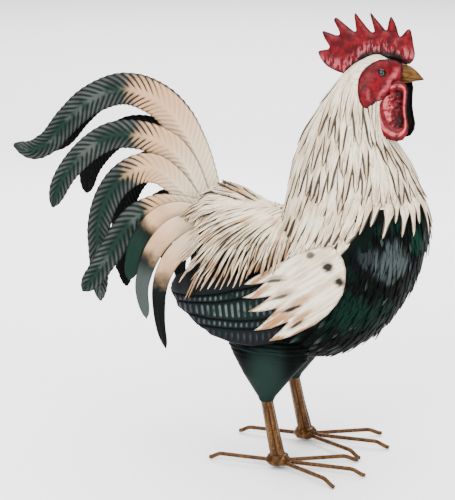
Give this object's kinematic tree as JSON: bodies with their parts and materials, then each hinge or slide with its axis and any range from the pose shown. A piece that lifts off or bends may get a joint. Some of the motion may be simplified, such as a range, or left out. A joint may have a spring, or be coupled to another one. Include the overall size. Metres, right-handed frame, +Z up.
{
  "type": "sheet metal rooster sculpture",
  "caption": "Standing rooster ornament in painted sheet steel, with layered feathers, curved tail sickles and splayed rod feet.",
  "frame": {"origin": "on the ground under the middle of the bird's bounding box", "axes": "+X the way the bird faces, +Y to its left side, +Z up"},
  "size_m": [0.5782, 0.2384, 0.6],
  "materials": {
    "cream_paint": "satin, brushed with tan and dark patina in the slits",
    "dark_green_paint": "semi-gloss, streaked with light green-blue",
    "sickle_paint": "satin, cream at the root shading to dark grey-green at the tip",
    "red_paint": "gloss with dark patina in the embossing",
    "brown_paint": "satin",
    "horn_paint": "satin",
    "eye_paint": "gloss"
  },
  "bodies": {
    "root": {"hackle_collar_1": "cream_paint", "hackle_collar_2": "cream_paint", "hackle_collar_3": "cream_paint", "hackle_collar_4": "cream_paint", "hackle_collar_5": "cream_paint", "right_wing_shield": "cream_paint", "left_wing_shield": "cream_paint", "right_saddle_feathers": "cream_paint", "left_saddle_feathers": "cream_paint", "body": "dark_green_paint", "right_thigh": "dark_green_paint", "left_thigh": "dark_green_paint", "breast_feathers_1": "dark_green_paint", "breast_feathers_2": "dark_green_paint", "breast_feathers_3": "dark_green_paint", "breast_feathers_4": "dark_green_paint", "right_flight_feathers": "dark_green_paint", "left_flight_feathers": "dark_green_paint", "right_tail_sickle_1": "sickle_paint", "left_tail_sickle_1": "sickle_paint", "right_tail_sickle_2": "sickle_paint", "left_tail_sickle_2": "sickle_paint", "right_tail_sickle_3": "sickle_paint", "left_tail_sickle_3": "sickle_paint", "right_tail_sickle_4": "sickle_paint", "left_tail_sickle_4": "sickle_paint", "right_tail_sickle_5": "sickle_paint", "left_tail_sickle_5": "sickle_paint", "right_tail_sickle_6": "sickle_paint", "left_tail_sickle_6": "sickle_paint", "right_tail_sickle_7": "sickle_paint", "left_tail_sickle_7": "sickle_paint", "comb": "red_paint", "right_face_plate": "red_paint", "left_face_plate": "red_paint", "right_wattle": "red_paint", "left_wattle": "red_paint", "right_leg": "brown_paint", "left_leg": "brown_paint", "right_long_toe": "brown_paint", "left_long_toe": "brown_paint", "right_outer_toe": "brown_paint", "left_outer_toe": "brown_paint", "right_inner_toe": "brown_paint", "left_inner_toe": "brown_paint", "right_foot_weld": "brown_paint", "left_foot_weld": "brown_paint", "beak": "horn_paint", "right_eye": "eye_paint", "left_eye": "eye_paint"}
  },
  "joints": []
}
